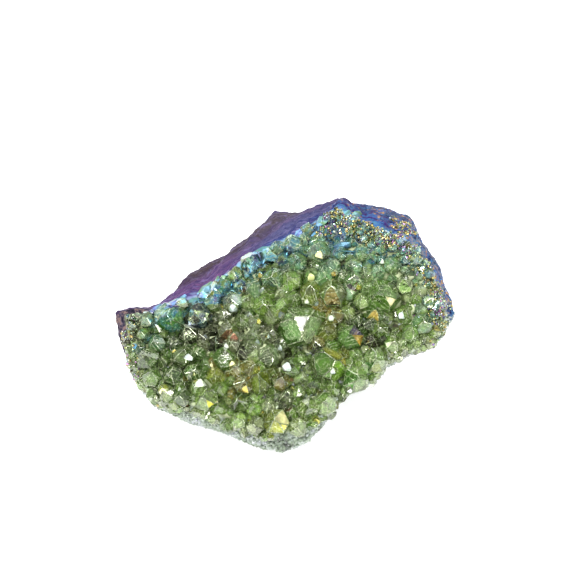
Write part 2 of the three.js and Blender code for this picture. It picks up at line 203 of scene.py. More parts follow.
# Small crystals on the larger ones, front facets painted highlights: x, y, radius, turn and the front facet's
# finish.
GLINTS = [
    (-14.4, -6.1, 1.1, 38, BRIGHT), (-23, -8.7, 1.5, 25, PALE), (-17.5, -10.3, 1.6, 15, GLEAM),
    (-24.5, -15.5, 1.3, 30, BRIGHT), (-28.2, -15.6, 1.4, 35, GLEAM), (-12.7, -3.8, 1.4, 44, BLUSH),
    (-9.5, -16.2, 1.5, 18, AMBER), (10.1, -0.8, 0.9, 30, BRIGHT), (13.9, -11.7, 1, 40, BRIGHT),
    (-0.1, -11.2, 1.5, 30, PALE), (-2.3, -19.8, 1, 30, BRIGHT), (-19.4, -3.4, 1, 22, PALE),
    (-19.2, 0.1, 0.7, 30, BRIGHT), (16.3, 7.2, 1.2, 35, OLIVE_GLEAM), (10.9, 9.9, 1, 20, AMBER),
    (7.7, 14.6, 1.5, 12, GLEAM), (5.2, 9.5, 1.3, 42, GLEAM), (22.3, 13.4, 1.1, 20, BRIGHT),
    (27.6, 9, 0.7, 30, BRIGHT), (34.2, 5.7, 1.3, 45, PALE), (4.5, 3.4, 0.8, 30, BRIGHT),
    (6.8, 2.8, 0.9, 15, PALE), (-1.6, 1, 1.2, 40, PALE), (26.6, 0.6, 1.4, 25, PALE),
    (12.9, 17.9, 1.3, 30, PALE), (-26.4, -7.2, 0.9, 30, AMBER), (-11.8, -9.2, 1, 45, OLIVE_GLEAM),
    (-12.8, -10.6, 1, 20, GLEAM), (-7.2, -4.8, 1.2, 30, PALE), (-4.6, -4.2, 1, 38, PALE),
    (-2, -6.5, 1.3, 20, PALE), (-6.7, -11.2, 1.4, 12, AMBER), (-9, -22.6, 1.6, 40, OLIVE_GLEAM),
    (-8.9, 1.8, 1.3, 15, PALE), (-13, 3.1, 1.4, 42, PALE), (-7, -0.2, 1.2, 18, OLIVE_GLEAM),
    (-6, 6.9, 1.1, 40, PALE), (-6.5, 10.6, 1, 30, AMBER), (13.6, -16.2, 0.9, 15, BRIGHT),
    (9.8, -12.6, 1, 30, PALE), (6.2, -22.8, 1.4, 36, OLIVE_GLEAM), (-35.1, -5.4, 1.8, 20, STEEL),
]
LEADER_COLOURS = {
    0: (138, 190, 78), 1: (140, 150, 84), 2: (134, 178, 76), 4: (176, 210, 112), 5: (190, 218, 152),
    6: (190, 216, 154), 7: (134, 182, 102), 8: (178, 212, 126), 9: (170, 176, 66), 10: (174, 184, 66),
    11: (150, 182, 86), 15: (112, 186, 92), 16: (40, 41, 46), 17: (42, 44, 46), 23: (84, 98, 56),
    24: (102, 110, 76), 28: (126, 126, 96), 29: (114, 156, 74),
}
# Stops of the fine druse's colours: place, red, green and blue.
GLITTER_STOPS = [
    (0, 24, 24, 22), (0.2, 70, 72, 48), (0.34, 176, 156, 92), (0.46, 112, 132, 82), (0.58, 132, 148, 122),
    (0.68, 92, 98, 132), (0.76, 136, 84, 124), (0.84, 132, 164, 160), (0.93, 206, 184, 126),
]
FLAKE_STOPS = [
    (0.05, 56, 56, 46), (0.18, 80, 126, 168), (0.34, 92, 138, 128), (0.46, 82, 90, 146),
    (0.58, 98, 142, 170), (0.7, 84, 118, 72), (0.82, 108, 150, 174), (0.94, 96, 78, 116),
]
GRAIN_STOPS = [(0.05, 58, 64, 56), (0.3, 118, 132, 110), (0.6, 146, 156, 146), (0.95, 162, 164, 172)]


def srgb(red, green, blue):
    """A colour from 0 to 255 as seen on a screen, as linear numbers."""
    shares = (red / 255, green / 255, blue / 255)
    return tuple(s / 12.92 if s <= 0.04045 else ((s + 0.055) / 1.055) ** 2.4 for s in shares)


def lerp(low, high, share):
    return (1 - share) * low + share * high


def clamp01(value):
    return min(1, max(0, value))


# Nodes


def forms(operation):
    """A value's operator and its reflected form, as Math nodes."""
    return (
        lambda self, other: self.math(operation, self, other),
        lambda self, other: self.math(operation, other, self),
    )


class Value:
    """A node's output. Arithmetic on it adds Math nodes to its tree."""

    def __init__(self, graph, socket):
        self.graph, self.socket = graph, socket

    def math(self, operation, first, second):
        return self.graph.node("Math", {0: first, 1: second}, operation=operation)

    __add__, __radd__ = forms("ADD")
    __sub__, __rsub__ = forms("SUBTRACT")
    __mul__, __rmul__ = forms("MULTIPLY")
    __truediv__, __rtruediv__ = forms("DIVIDE")

    def between(self, low, high):
        """0 up to low, 1 from high on, and smooth between them."""
        limits = {"From Min": low, "From Max": high, "Value": self}
        return self.graph.node("MapRange", limits, interpolation_type="SMOOTHSTEP")

    def crests(self):
        """Thin lines that come back at each whole step of the value."""
        return self.math("PINGPONG", self, 0.5).between(0.36, 0.47)


class Graph:
    """A node tree that is being built."""

    def __init__(self, tree):
        self.tree = tree

    def node(self, kind, sockets=None, out=0, stops=(), **settings):
        """Adds one node: its settings and its ramp's stops, then its sockets' values or links."""
        made = self.tree.nodes.new(kind if "Node" in kind else "ShaderNode" + kind)
        for name, value in settings.items():
            setattr(made, name, value)
        if stops:
            ramp = made.color_ramp.elements
            while len(ramp) < len(stops):
                ramp.new(1)
            for element, (place, colour) in zip(ramp, stops):
                element.position = place
                element.color = (*colour, 1)
        for key, value in (sockets or {}).items():
            socket = made.inputs[key]
            if isinstance(value, Value):
                self.tree.links.new(value.socket, socket)
            elif socket.type == "RGBA" and len(value) == 3:
                socket.default_value = (*value, 1)
            else:
                socket.default_value = value
        return Value(self, made.outputs[out]) if made.outputs else made

    def attribute(self, name, out="Fac"):
        return self.node("Attribute", None, out, attribute_name=name)

    def noise(self, at, size, detail=2, roughness=0.5, out=0):
        """Noise from 0 to 1 with lumps of about this size, in metres."""
        sockets = {"Vector": at, "Scale": 1 / size, "Detail": detail, "Roughness": roughness}
        return self.node("TexNoise", sockets, out)

    def ramp(self, value, stops):
        """A colour ramp, from stops that are each a place, red, green and blue."""
        stops = [(place, srgb(*colour)) for place, *colour in stops]
        return self.node("ValToRGB", {"Fac": value}, stops=stops)

    def mix(self, share, first, second, blend="MIX"):
        return self.node("Mix", {0: share, 6: first, 7: second}, 2, data_type="RGBA", blend_type=blend)

    def over(self, colour, *layers):
        """A colour with others laid over it one by one, each given as its share and its colour."""
        for share, layer in layers:
            colour = self.mix(share, colour, layer)
        return colour

    def vector(self, operation, *values):
        keys = (0, "Scale") if operation == "SCALE" else (0, 1, 2)
        out = "Value" if operation in ("DOT_PRODUCT", "LENGTH") else 0
        return self.node("VectorMath", dict(zip(keys, values)), out, operation=operation)

    def warped(self, at, size, reach):
        """The point moved about by a noise with lumps of this size, by up to about half the reach."""
        return self.vector("MULTIPLY_ADD", self.noise(at, size, 1, out="Color"), (reach, reach, reach), at)

    def stretched(self, at, along, times):
        """The point with its part along a direction multiplied. A noise read there lies in layers."""
        part = self.vector("DOT_PRODUCT", at, along)
        return self.vector("ADD", at, self.vector("SCALE", along, part * (times - 1)))


def new_material(name):
    """A material with an empty tree, and the graph that fills it."""
    material = bpy.data.materials.new(name)
    material.use_nodes = True
    material.node_tree.nodes.clear()
    return material, Graph(material.node_tree)


def new_shape_tree(name, **inputs):
    """A Geometry Nodes tree with these inputs, listed by kind. Returns its graph and the inputs' values."""
    tree = bpy.data.node_groups.new(name, "GeometryNodeTree")
    for kind, labels in {"Geometry": ["Geometry"], **inputs, "Material": ["Material"]}.items():
        for label in labels:
            tree.interface.new_socket(label, in_out="INPUT", socket_type="NodeSocket" + kind)
    tree.interface.new_socket("Geometry", in_out="OUTPUT", socket_type="NodeSocketGeometry")
    graph = Graph(tree)
    entry = tree.nodes.new("NodeGroupInput")
    return graph, {s.name: Value(graph, s) for s in entry.outputs if s.name}


def close_shape_tree(graph, geometry, inputs):
    """Ends a tree in Realize Instances and Set Material."""
    real = graph.node("GeometryNodeRealizeInstances", {0: geometry})
    dressed = graph.node("GeometryNodeSetMaterial", {0: real, "Material": inputs["Material"]})
    graph.node("NodeGroupOutput", {0: dressed})
    return graph.tree


def grown(carrier, tree, values, name):
    """Runs a tree on an object, with its inputs set by name, and returns the result as a plain mesh."""
    modifier = carrier.modifiers.new(name, "NODES")
    modifier.node_group = tree
    for item in tree.interface.items_tree:
        if item.item_type == "SOCKET" and item.in_out == "INPUT" and item.name in values:
            modifier[item.identifier] = values[item.name]
    depsgraph = bpy.context.evaluated_depsgraph_get()
    mesh = bpy.data.meshes.new_from_object(carrier.evaluated_get(depsgraph))
    carrier.modifiers.clear()
    mesh.name = name
    return mesh


# Objects


def linked(name, data):
    obj = bpy.data.objects.new(name, data)
    bpy.context.scene.collection.objects.link(obj)
    return obj


def dropped(*objects):
    for obj in objects:
        bpy.data.objects.remove(obj)


def mesh_of(body, name):
    """A bmesh as a mesh. The bmesh is freed."""
    mesh = bpy.data.meshes.new(name)
    body.to_mesh(mesh)
    body.free()
    return mesh


def finished(name, mesh, node=None):
    """A finished piece: it rides on the root body and may stand for a CAD node, which it hides."""
    piece = linked(name, mesh)
    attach(piece, "root")
    if node:
        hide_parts(node)


def to_row(point):
    """A point of the outlines' frame, in millimetres, as one of the row's frame, in metres."""
    return (Vector(point) - BOX_MIDDLE) * MM


def places(mesh):
    """Of each point of a mesh: x, y and z in the outlines' frame, its depth below the bed, and its normal."""
    points, normals = np.empty((2, len(mesh.vertices) * 3))
    mesh.vertices.foreach_get("co", points)
    mesh.vertex_normals.foreach_get("vector", normals)
    x, y, z = (points.reshape(-1, 3) / MM + np.array(BOX_MIDDLE)).T
    return x, y, z, BED_HEIGHT + BED_RISE * y + BED_CANT * x - z, normals.reshape(-1, 3).T


def fade(low, high, values):
    """0 up to low, 1 from high on, and smooth between them."""
    share = np.clip((values - low) / (high - low), 0, 1)
    return share * share * (3 - 2 * share)


def store(mesh, name, values, kind="FLOAT"):
    attribute = mesh.attributes.new(name, kind, "POINT")
    field = "value" if kind == "FLOAT" else "color"
    attribute.data.foreach_set(field, np.ascontiguousarray(values, np.float32).ravel())


# The bed and its outline


def bed_z(x, y):
    swell = BED_SWELL * math.sin(x / 6.5 + 0.6) * math.sin(y / 5.5 + 1.1)
    return BED_HEIGHT + BED_RISE * y + BED_CANT * x + swell


def inside_rim(x, y):
    """Distance from points to the rim's outline, positive inside it. Takes numbers or arrays."""
    nearest = np.full(np.shape(x), np.inf)
    inside = np.zeros(np.shape(x), bool)
    for (ax, ay), (bx, by) in zip(RIM, RIM[1:] + RIM[:1]):
        run, rise = bx - ax, by - ay
        along = np.clip(((x - ax) * run + (y - ay) * rise) / (run**2 + rise**2), 0, 1)
        nearest = np.minimum(nearest, np.hypot(x - lerp(ax, bx, along), y - lerp(ay, by, along)))
        inside ^= ((ay > y) != (by > y)) & (x < ax + (y - ay) / rise * run)
    return np.where(inside, nearest, -nearest)


def coarseness(x, y):
    """How coarse the crystals are at a place, from 0 in the fine-grained corners to 1."""
    upper_right = np.clip((FINE_REACH - FINE_SLOPE * x - y) / FINE_FADE, 0, 1)
    return np.minimum(upper_right, np.clip((x - CORNER_X) / CORNER_FADE, 0, 1))


def below_ridge(x, y):
    """Distance from the long upper left ridge, positive on the crystals' side. Takes numbers or arrays."""
    return (x - RIDGE_START[0]) * RIDGE_ALONG.y - (y - RIDGE_START[1]) * RIDGE_ALONG.x


# Crystals

ROOT, SIDE, END, EDGE = range(4)  # kinds of a crystal's faces


def numbers(seed):
    """A repeatable stream of numbers from 0 to 1, the same as in the part's source."""
    state = seed
    while True:
        state = state * 16807 % 2147483647
        yield state / 2147483647


def is_clear(foot, placed, share_of_larger, share_of_smaller):
    """Whether a crystal's foot keeps its distance from the others': a share of each foot's radius."""
    for other in placed:
        small, large = sorted((foot[2], other[2]))
        room = share_of_larger * large + share_of_smaller * small
        if math.hypot(other[0] - foot[0], other[1] - foot[1]) < room:
            return False
    return True


def tried_feet(draw, tries):
    """Feet to try, from the stream: x and y, a share of the range of sizes, and a turn of each."""
    across, along, size, turn = np.array([next(draw) for _ in range(4 * tries)]).reshape(tries, 4).T
    return lerp(*FILL_BOX[0], across), lerp(*FILL_BOX[1], along), size, 60 * turn


def add_feet(placed, feet, edge_room, crowding):
    """Places feet one after the other where they lie inside the rim and clear of those before them."""
    x, y, radius, _ = feet
    for foot in np.stack(feet, axis=1)[inside_rim(x, y) > edge_room * radius].tolist():
        if is_clear(foot, placed, *crowding):
            placed.append(tuple(foot))


def main_crystals():
    """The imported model's crystals: x, y, radius and turn of each."""
    x, y, size, turn = tried_feet(numbers(PLACE_SEED), FILL_TRIES)
    radius = FILL_RADIUS * lerp(SMALLEST, 1, coarseness(x, y)) * lerp(*FILL_SPREAD, size)
    placed = list(LEADERS)
    add_feet(placed, (x, y, radius, turn), EDGE_ROOM, (CROWDING, CROWDING))
    return placed


def infill_crystals(placed, seed):
    """Smaller crystals in the room that the main ones leave, most of them half buried in their neighbours."""
    draw = numbers(seed)
    taken = list(placed)
    for tries, low, high in INFILL_PASSES:
        x, y, size, turn = tried_feet(draw, tries)
        radius = lerp(low, high, size) * lerp(INFILL_SMALLEST, 1, coarseness(x, y))
        add_feet(taken, (x, y, radius, turn), INFILL_EDGE_ROOM, INFILL_CROWDING)
    return taken[len(placed):]


def crystal_planes(radius, draw, uneven):
    """The planes that bound a crystal along +Z, as (normal, distance, kind)."""
    height = radius * (PRISM_SHARE + math.tan(FACE_SLOPE)) * lerp(*HEIGHT_SPREAD, next(draw))
    tilt = math.pi / 2 - FACE_SLOPE
    planes = [(Vector((0, 0, -1)), ROOT_DEPTH, ROOT)]
    for i in range(6):
        angle = i * math.pi / 3
        out = Vector((math.cos(angle), math.sin(angle), 0))
        planes.append((out, radius * lerp(*SIDE_SPREAD, next(draw)), SIDE))
        end = out * math.cos(tilt) + Vector((0, 0, math.sin(tilt)))
        set_back = lerp(*(SMALL_FACES if i % 2 else LARGE_FACES), next(draw))
        if uneven:
            set_back *= 1 + uneven * lerp(-1, 1, next(draw))
        planes.append((end, height * math.sin(tilt) * set_back, END))
    return planes


def crystal_axis(x, y, sway, draw):
    """Where a crystal points: off the bed, outwards near the rim, and a little at random or by its sway."""
    outward = Vector((x - BED_MIDDLE[0], y - BED_MIDDLE[1], 0)).normalized()
    near_rim = 1 - clamp01(inside_rim(x, y) / SPLAY_REACH)
    lean = math.tan(math.radians(SPLAY * near_rim * lerp(SPLAY_LEAST, 1, next(draw))))
    stray = math.tan(math.radians(SCATTER))
    drawn = (lerp(-1, 1, next(draw)), lerp(-1, 1, next(draw)))
    along_x, along_y = sway or drawn
    return (BED_NORMAL + outward * lean + Vector((stray * along_x, stray * along_y, 0))).normalized()


def corner_points(planes):
    """The corner points of the solid that the planes bound, each with the planes that meet there."""
    normals = np.array([p[0] for p in planes])
    reach = np.array([p[1] for p in planes])
    triples = np.array(list(itertools.combinations(range(len(planes)), 3)))
    systems = normals[triples]
    good = np.abs(np.linalg.det(systems)) > TINY
    triples = triples[good]
    points = np.linalg.solve(systems[good], reach[triples][..., None])[..., 0]
    on_solid = (points @ normals.T < reach + TINY).all(axis=1)
    corners = []
    for point, meeting in zip(points[on_solid], triples[on_solid]):
        near = next((c for c in corners if np.linalg.norm(c[0] - point) < SAME_POINT), None)
        if near:
            near[1].update(meeting)
        else:
            corners.append((point, set(meeting)))
    return corners


def crystal_body(crystal, number, draw, bevel, sink=0, foot=None, axis=None, uneven=0):
    """One crystal as a bmesh in the row's frame, with the kind and the number of each face."""
    x, y, radius, turn, *sway = crystal
    planes = crystal_planes(radius, draw, uneven)
    planes = [(n, reach * TRIMS.get((number, i), 1), kind) for i, (n, reach, kind) in enumerate(planes)]
    corners = corner_points(planes)
    if number in TIP_CUTS:
        heading, slope, drop = TIP_CUTS[number]
        tip = max(c[0][2] for c in corners)
        across, flat = math.radians(heading - turn), math.sin(slope)
        cut = Vector((flat * math.cos(across), flat * math.sin(across), math.cos(slope)))
        planes.append((cut, (tip - drop) * math.cos(slope), END))
        corners = corner_points(planes)
    axis = axis or crystal_axis(x, y, sway, draw)
    stand = Vector((0, 0, 1)).rotation_difference(axis) @ Quaternion((0, 0, 1), math.radians(turn))
    place = (foot or Vector((x, y, bed_z(x, y)))) - sink * radius * axis
    body = bmesh.new()
    kind_layer, plane_layer = (body.faces.layers.int.new(name) for name in ("kind", "plane"))
    points = [body.verts.new(to_row(stand @ Vector(c[0]) + place)) for c in corners]
    for plane, (normal, _, kind) in enumerate(planes):
        ring = [(Vector(c[0]), points[i]) for i, c in enumerate(corners) if plane in c[1]]
        if len(ring) < 3:
            continue
        middle = sum((spot for spot, _ in ring), Vector()) / len(ring)
        first = (ring[0][0] - middle).normalized()
        second = normal.cross(first)
        ring.sort(key=lambda r: math.atan2((r[0] - middle).dot(second), (r[0] - middle).dot(first)))
        face = body.faces.new([point for _, point in ring])
        face[kind_layer], face[plane_layer] = kind, plane
    # Bevelled edges: their faces are painted pale later, a painted highlight.
    if bevel:
        highlit = {"offset": bevel * MM, "segments": 1, "profile": 0.5, "affect": "EDGES", "clamp_overlap": True}
        for face in bmesh.ops.bevel(body, geom=list(body.edges), **highlit)["faces"]:
            face[kind_layer] = EDGE
    body.normal_update()
    return body


def body_colour(x, y, draw):
    """A crystal's own colour, after the patch that it stands in."""
    for px, py, reach, colours in PATCHES:
        if math.hypot(x - px, y - py) < reach * draw.uniform(*PATCH_EDGE):
            break
    else:
        colours = FRESH
    return srgb(*draw.choices([c[:3] for c in colours], [c[3] for c in colours])[0])


def face_finish(kind, rank, body_tint, blue, draw):
    """A facet's tint, its metallic aura and its pearly share. A leading crystal has no odd facets."""
    roll = draw.random()
    shade = draw.uniform(0.65, 1.1)
    haze = draw.uniform(0.04, 0.28) * (0.5 if rank == 0 else 1)
    highlit = draw.uniform(-0.2, 0.5)
    glow = draw.uniform(0.3, 0.8)
    # Edge faces take a pale colour: a painted highlight.
    if kind == EDGE:
        return srgb(*PAINTED_EDGE_HIGHLIGHT), 0.1, max(0, highlit)
    # Facets near the ridge may take the film's blue: a painted sheen.
    if kind != ROOT and blue and roll < BLUE_SHARE:
        return srgb(*draw.choice(SKY_BLUES)), glow, haze + 0.1
    # Odd gold and white facets of infill crystals are painted glints.
    if kind == END and roll > GOLD_FROM and rank == 2:
        return srgb(*draw.choice(GOLDS)), glow, haze
    if kind == END and roll > WHITE_FROM and rank == 2:
        return srgb(*WHITE), glow, haze
    # Side facets stand low in the gaps between crystals and take a painted shade: 0.6 of the tint.
    if kind == SIDE:
        return tuple(0.6 * shade * c for c in body_tint), 0, 0.5 * haze
    smoky = SMOKY_AURA if sum(body_tint) < SMOKY_TINT else 0
    return tuple(min(1, shade * c) for c in body_tint), draw.uniform(0, 0.04) + smoky, haze


def paint_crystal(body, crystal, number, rank, flashes, draw):
    """Gives each facet of a crystal its tint, its aura, its pearly share and the run of its growth lines."""
    x, y, *_ = crystal
    layers = body.faces.layers
    kinds, planes = layers.int["kind"], layers.int["plane"]
    tints = layers.float_color.new("tint")
    auras, pearls, sheens, reaches = (layers.float.new(name) for name in ("aura", "pearl", "sheen", "reach"))
    middles, acrosses = (layers.float_vector.new(name) for name in ("middle", "across"))
    # Near the ridge, the top and the right rim the film shows a painted blue sheen.
    ridge = clamp01(1 - (below_ridge(x, y) - 2.5) / 5)
    broad_ridge = clamp01(1 - (below_ridge(x, y) - 5) / 4) * clamp01((x + 38) / 12)
    top = clamp01((y - 10) / 4) * clamp01((x - 4) / 6)
    right_rim = clamp01((x - 26) / 5) * clamp01(1 - (inside_rim(x, y) - 2) / 4) * clamp01((y + 3) / 4)
    blue = draw.random() < max(0.85 * ridge * clamp01((x + 42) / 12), 0.5 * top)
    body_tint = body_colour(x, y, draw)
    if number in LEADER_COLOURS:
        body_tint = srgb(*LEADER_COLOURS[number])
    for face in body.faces:
        tint, aura, pearl = face_finish(face[kinds], rank, body_tint, blue, draw)
        if face[kinds] == END and face[planes] in flashes:
            *flash, aura, pearl = flashes[face[planes]]
            tint = srgb(*flash)
        face[tints] = (*tint, 1)
        face[auras] = aura
        face[pearls] = pearl
        face[sheens] = 0 if pearl > PEARLY else max(broad_ridge, 0.85 * top, 0.8 * right_rim)
        face[middles] = face.calc_center_median()
        face[reaches] = math.sqrt(face.calc_area() / math.pi)
        edge = draw.choice(face.edges)
        run = (edge.verts[1].co - edge.verts[0].co).normalized()
        face[acrosses] = face.normal.cross(run) / (draw.uniform(*LINE_PITCH) * MM)
    for name in ("kind", "plane"):
        layers.int.remove(layers.int[name])


def height_at(x, y, trees):
    """How far above the bed, along its normal, the highest crystal at a place ends, in millimetres."""
    reach = 12
    start = to_row((x, y, bed_z(x, y))) + BED_NORMAL * reach * MM
    hits = [tree.ray_cast(start, -BED_NORMAL, reach * MM)[3] for tree in trees]
    return max([reach - hit / MM for hit in hits if hit is not None], default=0)


def wall_crystals(rock, draw):
    """Crystals that lean out of the front wall just below the rim: foot, axis, radius and turn of each."""
    wall = BVHTree.FromBMesh(rock)
    found = []
    for (ax, ay), (bx, by), deepest in WALL_RUNS:
        steps = round(math.hypot(bx - ax, by - ay) / WALL_STEP)
        outward = Vector((by - ay, ax - bx, 0)).normalized()
        for row in range(max(1, round(deepest / WALL_STEP))):
            depth = WALL_START + row * WALL_STEP
            for i in range(steps):
                share = (i + 0.5 * (row % 2) + draw.uniform(0.2, 0.8)) / steps
                x, y = lerp(ax, bx, share), lerp(ay, by, share)
                low = bed_z(x, y) - depth * draw.uniform(0.8, 1.2)
                start = to_row(Vector((x, y, low)) + outward * WALL_AIM)
                hit, normal, *_ = wall.ray_cast(start, -outward, WALL_RAY * MM)
                radius = draw.uniform(*WALL_RADIUS)
                turn = draw.uniform(0, 60)
                sway = Vector([draw.uniform(-WALL_SWAY, WALL_SWAY) for _ in range(3)])
                if hit:
                    axis = (normal + BED_NORMAL * WALL_LIFT + sway).normalized()
                    found.append((hit / MM + BOX_MIDDLE, axis, radius, turn))
    return found


def skin_body():
    """The intergrown quartz that joins the crystals: a sheet over the bed, out to the rim."""
    body = bmesh.new()
    levels = (-ROOT_DEPTH / 2, QUARTZ_SKIN)

    def point(x, y, level):
        return body.verts.new(to_row((x, y, bed_z(x, y) + level)))

    low_rim, low_step, high_rim, high_step = (
        [point(lerp(BED_MIDDLE[0], x, step), lerp(BED_MIDDLE[1], y, step), level) for x, y in RIM]
        for level in levels
        for step in (1, BED_STEP)
    )
    low_tip, high_tip = (point(*BED_MIDDLE, level) for level in levels)
    for j in range(len(RIM)):
        k = (j + 1) % len(RIM)
        body.faces.new((low_rim[j], high_rim[j], high_rim[k], low_rim[k]))
        body.faces.new((low_rim[j], low_rim[k], low_step[k], low_step[j]))
        body.faces.new((high_rim[j], high_step[j], high_step[k], high_rim[k]))
        body.faces.new((low_step[j], low_step[k], low_tip))
        body.faces.new((high_step[j], high_tip, high_step[k]))
    bmesh.ops.recalc_face_normals(body, faces=body.faces)
    tints = body.faces.layers.float_color.new("tint")
    auras = body.faces.layers.float.new("aura")
    for face in body.faces:
        face[tints] = (*srgb(*FRESH[2][:3]), 1)
        face[auras] = SKIN_AURA
    return body


def joined_crystals(bodies, material):
    """All the bodies as one closed mesh, by a union in Geometry Nodes."""
    members = bpy.data.collections.new("crystals to join")
    bpy.context.scene.collection.children.link(members)
    meshes = [mesh_of(body, "crystal") for body in bodies]
    helpers = [bpy.data.objects.new(f"member {i}", mesh) for i, mesh in enumerate(meshes)]
    for helper in helpers:
        members.objects.link(helper)
    graph, inputs = new_shape_tree("Join crystals", Collection=["Crystals"])
    each = {"Collection": inputs["Crystals"], "Separate Children": True}
    each = graph.node("GeometryNodeCollectionInfo", each)
    whole = graph.node("GeometryNodeMeshBoolean", {1: each}, operation="UNION", solver="MANIFOLD")
    tree = close_shape_tree(graph, whole, inputs)
    host = linked("host", bpy.data.meshes.new("host"))
    mesh = grown(host, tree, {"Crystals": members, "Material": material}, "aura_crystals")
    dropped(host, *helpers)
    bpy.data.collections.remove(members)
    return mesh


def quartz_material(settings):
    """Clear green quartz under a thin metal oxide film, with pearly facets."""
    material, graph = new_material("aura_quartz")
    crack_and_shade_colour, line_colour = settings.crack_and_shade_colour, settings.line_colour
    at = graph.node("TexCoord", out="Object")
    tint = graph.attribute("tint", "Color")
    aura, pearl, sheen, reach = (graph.attribute(name) for name in ("aura", "pearl", "sheen", "reach"))
    middle, across = (graph.attribute(name, "Vector") for name in ("middle", "across"))

    # Painted reflections of inner facets, and cracks: large cells and small ones, each with its own shade
    cells = {"Vector": graph.warped(at, 0.0025, 0.002), "Scale": 1 / settings.inner_size}
    small_cells = {"Vector": graph.warped(at, 0.0012, 0.0012), "Scale": 3 / settings.inner_size}
    shades = [
        (0.12, (0.24, 0.24, 0.17)), (0.28, (0.7, 0.8, 0.5)), (0.45, (1, 1, 0.95)), (0.62, (0.8, 1.1, 0.6)),
        (0.78, (1.2, 1.2, 1.05)), (0.9, (1.4, 1.35, 1.2)),
    ]
    large, small = (
        graph.node("ValToRGB", {"Fac": graph.node("TexVoronoi", sockets, "Color")}, stops=shades)
        for sockets in (cells, small_cells)
    )
    inner_shade = graph.mix(0.6, large, small, "MULTIPLY")
    rim = graph.node("TexVoronoi", cells, feature="DISTANCE_TO_EDGE")

    # Growth lines across a facet, or rings round its middle that are painted inner reflections
    offset = graph.vector("SUBTRACT", at, middle)
    radial = graph.vector("LENGTH", offset) / reach
    wobble = graph.noise(at, 0.003)
    where = graph.noise(at, 0.0042, 1)
    step = graph.vector("DOT_PRODUCT", offset, across)
    stripe = (step + wobble * 1.2).crests() * where.between(0.5, 0.58)
    ring = (radial * 2.2 + wobble * 0.8).crests() * (1 - where.between(0.4, 0.48))
    cracked = 1 - graph.noise(at, 0.006, 1).between(0.42, 0.6)
    line = (1 - rim.between(0.008, 0.03)) * cracked * 0.5 + ring * 0.3 + stripe * 0.5

    # Painted blue sheen by the ridge, fine specks with a painted sparkle, and painted shade on the facets'
    # rims
    blue_place = graph.noise(graph.stretched(at, RIDGE_ALONG, 0.4), 0.0023)
    blue = sheen * blue_place.between(0.4, 0.49) * 0.88
    blue_stops = [(0.36, 92, 92, 164), (0.45, 92, 152, 198), (0.54, 106, 168, 186), (0.62, 104, 150, 132)]
    blue_colour = graph.ramp(graph.noise(at, 0.0028), blue_stops)
    fine = graph.noise(at, 0.0006, 2, 0.6)
    painted_sparkle = fine.between(0.56, 0.66) * 0.4
    dark_speck = (1 - fine.between(0.34, 0.44)) * 0.4
    painted_rim_shade = radial.between(0.45, 1.25)
    height = graph.noise(at, 0.0025) + fine * 0.04 + (stripe + ring) * 0.03
    bump = graph.node("Bump", {"Strength": 0.4, "Distance": 0.00035, "Height": height})

    cloudy = graph.noise(at, 0.0045, 3).between(0.4, 0.75) * 0.3
    # Over the tint: painted shade by the cells' edges and facets' rims, blue sheen, painted sparkle, dark
    # specks
    clear_colour = graph.over(
        graph.mix(0.65, graph.mix(cloudy, tint, settings.cloud_colour), inner_shade, "MULTIPLY"),
        ((1 - rim.between(0.02, 0.15)) * 0.4, crack_and_shade_colour), (blue, blue_colour), (painted_sparkle, line_colour),
        (dark_speck, crack_and_shade_colour), (painted_rim_shade * 0.42, crack_and_shade_colour),
    )
    clear = graph.node("BsdfPrincipled", {
        "Base Color": clear_colour, "Metallic": aura + blue * 0.55, "IOR": 1.54, "Normal": bump,
        "Roughness": 0.02 + 0.1 * fine.between(0.45, 0.8), "Transmission Weight": settings.transmission,
        "Thin Film Thickness": settings.film_thickness, "Thin Film IOR": settings.film_ior,
    })
    shown = 1.1 - pearl
    # The pearly share takes the same painted rim shade and painted sparkle.
    frosted_colour = graph.over(
        graph.mix(0.55, graph.mix(blue, tint, blue_colour), inner_shade, "MULTIPLY"),
        (painted_rim_shade * 0.3, crack_and_shade_colour), (painted_sparkle * shown + line * shown, line_colour),
        (dark_speck * shown, crack_and_shade_colour),
    )
    frosted = graph.node("BsdfPrincipled", {
        "Base Color": frosted_colour, "Metallic": aura, "Roughness": 0.1, "IOR": 1.54, "Normal": bump,
    })
    share = pearl * (1.1 - painted_rim_shade * 0.4) + (line * 0.6 + painted_sparkle * 0.5) * (1.2 - pearl) + blue * 0.1
    surface = graph.node("MixShader", {0: share, 1: clear, 2: frosted})
    depth = {"Color": settings.depth_colour, "Density": settings.depth_density}
    volume = graph.node("VolumeAbsorption", depth)
    graph.node("OutputMaterial", {"Surface": surface, "Volume": volume})
    return material


# Rock

RELIEF_SIZES = ["Streak Depth", "Streak Pitch", "Grain Depth", "Grain Size", "Lump Depth", "Lump Size"]


def relief_tree():
    """Streaks along the layers, lumps and grains on the rock's sides. The foot stays flat."""
    graph, inputs = new_shape_tree("Rock relief", Float=RELIEF_SIZES)
    at = graph.node("GeometryNodeInputPosition")
    normal = graph.node("GeometryNodeInputNormal")
    layered = graph.stretched(at, BED_NORMAL, 6)
    streak = graph.node("TexNoise", {"Vector": layered, "Scale": 1 / inputs["Streak Pitch"] / 5, "Detail": 4})
    grain = graph.noise(at, inputs["Grain Size"])
    lump = graph.noise(at, inputs["Lump Size"], 1)
    height = (streak - 0.5) * 2 * inputs["Streak Depth"] + (grain - 0.55) * 2 * inputs["Grain Depth"]
    height = height + (lump - 0.55) * 2 * inputs["Lump Depth"]
    level = graph.vector("DOT_PRODUCT", at, BED_NORMAL)
    bed_level = to_row((0, 0, BED_HEIGHT)).dot(BED_NORMAL)
    near_bed = level.between(bed_level - 0.0012, bed_level - 0.0006)
    above_foot = graph.node("SeparateXYZ", {0: at}, 2).between(0.0003, 0.0015) * (1 - 0.85 * near_bed)
    move = graph.vector("SCALE", normal, height * above_foot)
    moved = graph.node("GeometryNodeSetPosition", {0: inputs["Geometry"], "Offset": move})
    return close_shape_tree(graph, moved, inputs)


